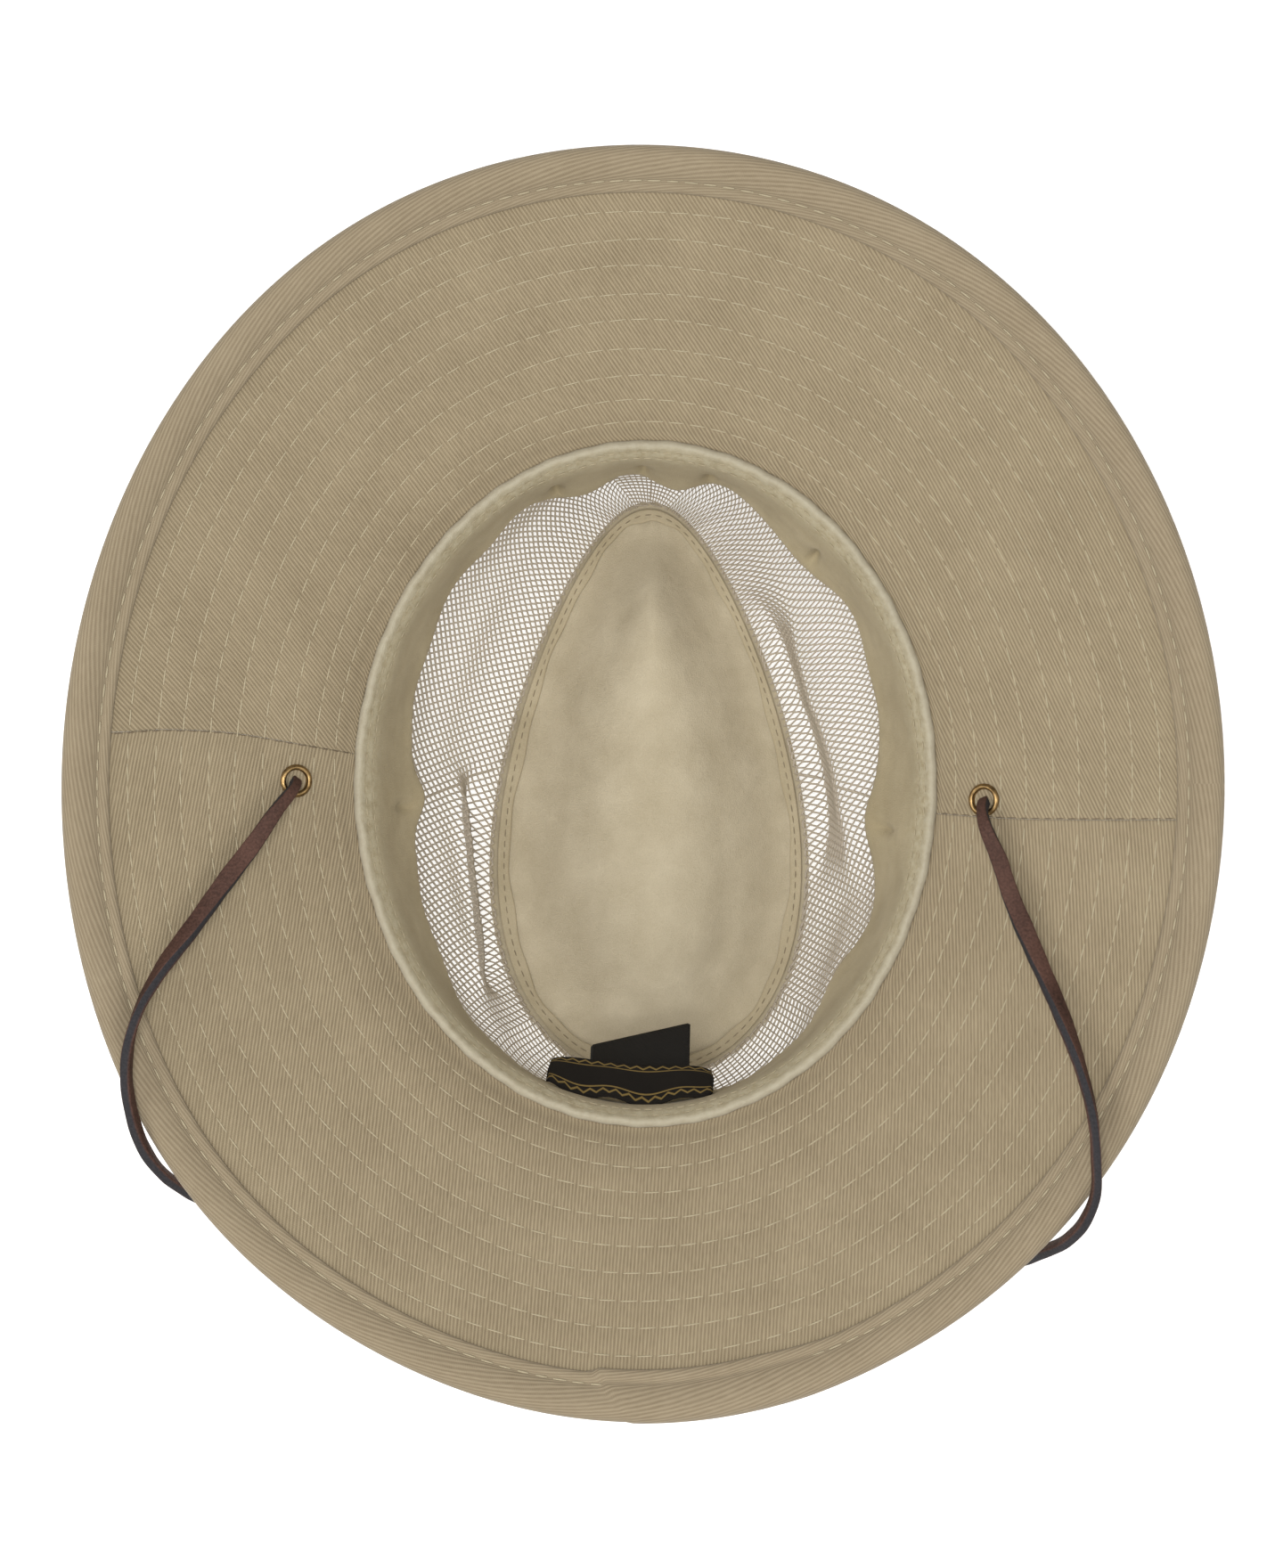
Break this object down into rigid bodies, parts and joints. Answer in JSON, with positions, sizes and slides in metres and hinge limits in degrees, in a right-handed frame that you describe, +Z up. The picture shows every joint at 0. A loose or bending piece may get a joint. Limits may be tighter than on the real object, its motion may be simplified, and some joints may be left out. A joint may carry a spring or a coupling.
{
  "type": "safari hat",
  "caption": "Wide-brimmed khaki safari hat with a quilted twill brim, see-through net crown, sweatband, eyelets and a leather chin lace.",
  "frame": {"origin": "where the crest of the crown rests, below the middle of the brim's outline, with the hat upside down", "axes": "+Z up from the crown's crest out through the head opening, +Y towards the front of the hat, +X to the picture's right"},
  "size_m": [0.3297, 0.3621, 0.1548],
  "materials": {
    "brim_twill": "khaki cotton twill",
    "binding_twill": "khaki cotton twill cut on the bias",
    "net": "tan knitted net",
    "tip_cotton": "smooth tan cotton",
    "band_cotton": "tan cotton with a pale stitched edge",
    "label": "black woven tape",
    "brass": "antique, dull",
    "lace_leather": "dark brown suede side leather, dark edges"
  },
  "bodies": {
    "root": {"brim_front": "brim_twill", "brim_back": "brim_twill", "brim_binding": "binding_twill", "crown_net": "net", "crown_tip": "tip_cotton", "tip_seam_fold": "tip_cotton", "sweatband": "band_cotton", "woven_label": "label", "care_tab": "label", "eyelet_left": "brass", "eyelet_right": "brass", "chin_lace": "lace_leather", "knot_left": "lace_leather", "knot_right": "lace_leather"}
  },
  "joints": []
}
